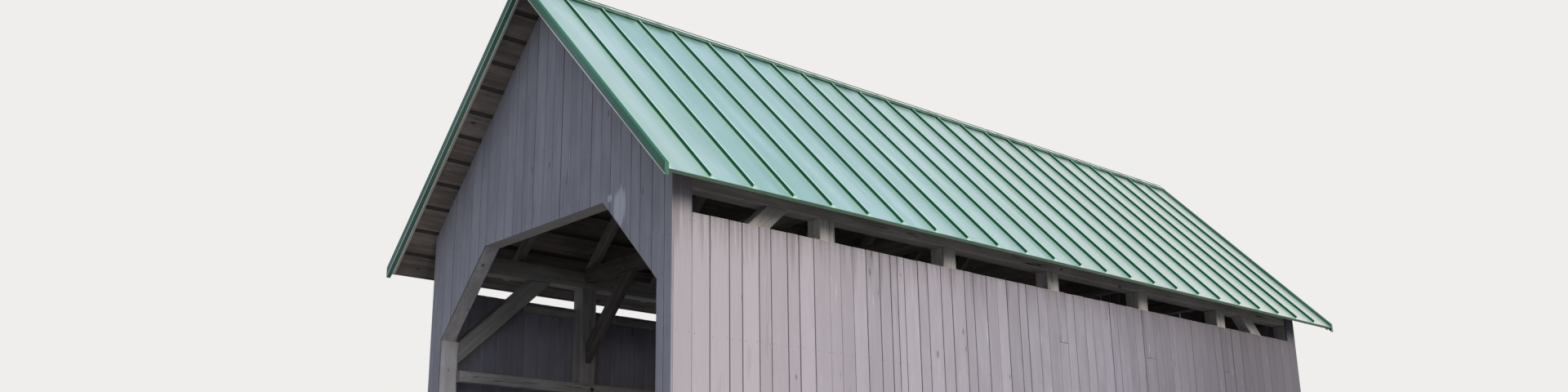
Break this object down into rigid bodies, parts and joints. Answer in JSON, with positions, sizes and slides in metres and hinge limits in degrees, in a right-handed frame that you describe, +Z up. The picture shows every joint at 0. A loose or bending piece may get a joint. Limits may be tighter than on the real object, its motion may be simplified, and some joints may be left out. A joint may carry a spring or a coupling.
{
  "type": "covered bridge",
  "caption": "Single-lane covered timber bridge: boarded side walls open under the eaves, clipped portals, steep standing-seam metal roof, on stone abutments.",
  "frame": {"origin": "on the ground, in the middle of the span and of the road", "axes": "+X across the road, +Y along the road towards the far portal, +Z up"},
  "size_m": [6.263, 15.2, 9.3596],
  "materials": {
    "frame_timber": "rough-sawn, weathered",
    "roof_board": "rough-sawn",
    "siding_board": "weathered grey",
    "deck_plank": "worn",
    "pale_batten": "painted, weathered",
    "roof_sheet": "satin coating",
    "roof_trim": "satin coating",
    "stone_masonry": "split fieldstone"
  },
  "bodies": {
    "root": {"bed_timbers": "frame_timber", "bottom_chord_left": "frame_timber", "bottom_chord_right": "frame_timber", "posts_left": "frame_timber", "posts_right": "frame_timber", "top_plate_left": "frame_timber", "top_plate_right": "frame_timber", "truss_braces_left": "frame_timber", "truss_braces_right": "frame_timber", "rail_left": "frame_timber", "rail_right": "frame_timber", "girts_left": "frame_timber", "girts_right": "frame_timber", "end_braces_left": "frame_timber", "end_braces_right": "frame_timber", "tie_beams": "frame_timber", "knee_braces_left": "frame_timber", "knee_braces_right": "frame_timber", "rafters_left": "frame_timber", "rafters_right": "frame_timber", "floor_beams": "frame_timber", "portal_braces_near": "frame_timber", "portal_braces_far": "frame_timber", "roof_boards_left": "roof_board", "roof_boards_right": "roof_board", "side_wall_left": "siding_board", "side_wall_right": "siding_board", "corner_boards": "siding_board", "gable_near": "siding_board", "gable_far": "siding_board", "portal_lining_near": "siding_board", "portal_lining_far": "siding_board", "deck": "deck_plank", "rake_batten_near": "pale_batten", "rake_batten_far": "pale_batten", "roof_panels_left": "roof_sheet", "roof_panels_right": "roof_sheet", "ridge_cap": "roof_sheet", "rake_trim_near": "roof_trim", "rake_trim_far": "roof_trim", "eave_drip_left": "roof_trim", "eave_drip_right": "roof_trim", "abutment_near": "stone_masonry", "abutment_far": "stone_masonry"}
  },
  "joints": []
}
